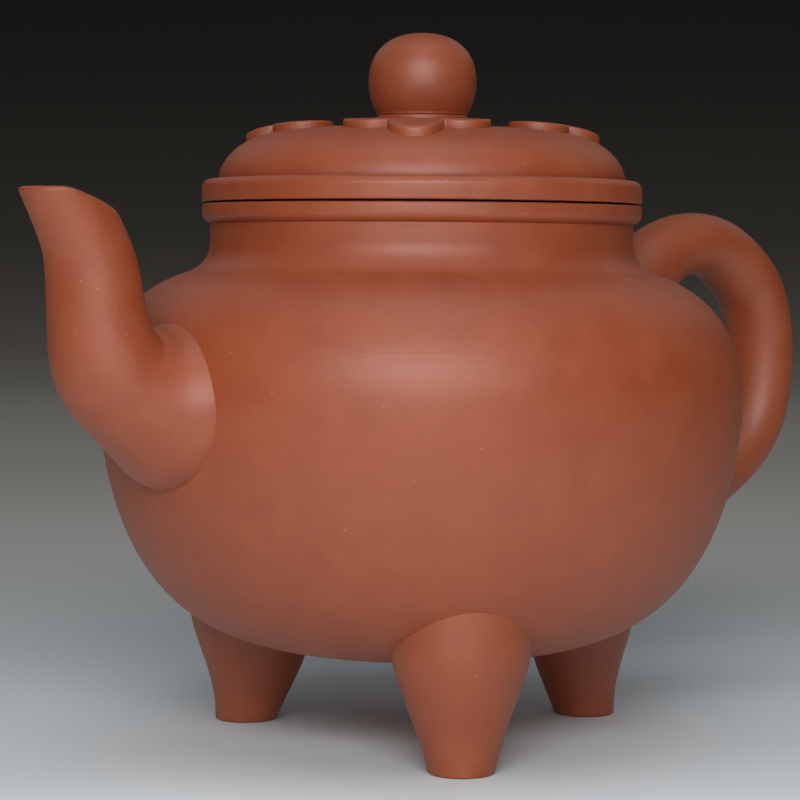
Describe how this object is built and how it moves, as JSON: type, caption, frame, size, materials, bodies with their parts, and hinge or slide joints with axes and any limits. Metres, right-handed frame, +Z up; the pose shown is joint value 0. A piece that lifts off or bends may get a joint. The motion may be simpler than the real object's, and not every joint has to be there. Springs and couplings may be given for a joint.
{
  "type": "yixing teapot",
  "caption": "Squat three-legged clay teapot with a swan-neck spout, an ear-shaped handle and a loose domed lid with cloud heads round a ball knob.",
  "frame": {"origin": "the middle of the bounding box's underside, on the surface that the feet stand on", "axes": "+Z up along the pot's axis, -X the way the spout points, +X the handle, the pot's axis 5.1 mm towards -X from the origin"},
  "size_m": [0.1566, 0.1024, 0.1123],
  "materials": {
    "belly": "unglazed red-brown stoneware, matte with a faint burnished sheen",
    "base_disc": "unglazed red-brown stoneware, matte with a faint burnished sheen",
    "shoulder_disc": "unglazed red-brown stoneware, matte with a faint burnished sheen",
    "neck_ring": "unglazed red-brown stoneware, matte with a faint burnished sheen",
    "mouth_rim": "unglazed red-brown stoneware, matte with a faint burnished sheen",
    "spout": "unglazed red-brown stoneware, matte with a faint burnished sheen",
    "strainer": "unglazed red-brown stoneware, matte with a faint burnished sheen",
    "handle": "unglazed red-brown stoneware, matte with a faint burnished sheen",
    "rear_leg": "unglazed red-brown stoneware, matte with a faint burnished sheen",
    "front_left_leg": "unglazed red-brown stoneware, matte with a faint burnished sheen",
    "front_right_leg": "unglazed red-brown stoneware, matte with a faint burnished sheen",
    "lid_cap": "unglazed red-brown stoneware, matte with a faint burnished sheen",
    "lid_flange": "unglazed red-brown stoneware, matte with a faint burnished sheen",
    "lid_collar": "unglazed red-brown stoneware, matte with a faint burnished sheen",
    "knob_collar": "unglazed red-brown stoneware, matte with a faint burnished sheen",
    "knob": "unglazed red-brown stoneware, matte with a faint burnished sheen",
    "cloud_head_1": "unglazed red-brown stoneware, matte with a faint burnished sheen",
    "cloud_head_2": "unglazed red-brown stoneware, matte with a faint burnished sheen",
    "cloud_head_3": "unglazed red-brown stoneware, matte with a faint burnished sheen",
    "cloud_head_4": "unglazed red-brown stoneware, matte with a faint burnished sheen"
  },
  "bodies": {
    "pot": {"belly": "belly", "base_disc": "base_disc", "shoulder_disc": "shoulder_disc", "neck_ring": "neck_ring", "mouth_rim": "mouth_rim", "spout": "spout", "strainer": "strainer", "handle": "handle", "rear_leg": "rear_leg", "front_left_leg": "front_left_leg", "front_right_leg": "front_right_leg"},
    "lid": {"lid_cap": "lid_cap", "lid_flange": "lid_flange", "lid_collar": "lid_collar", "knob_collar": "knob_collar", "knob": "knob", "cloud_head_1": "cloud_head_1", "cloud_head_2": "cloud_head_2", "cloud_head_3": "cloud_head_3", "cloud_head_4": "cloud_head_4"}
  },
  "joints": [
    {"name": "lid_lift", "type": "slide", "parent": "pot", "child": "lid", "axis": [0, 0, 1], "range_m": [0, 0.06]}
  ]
}
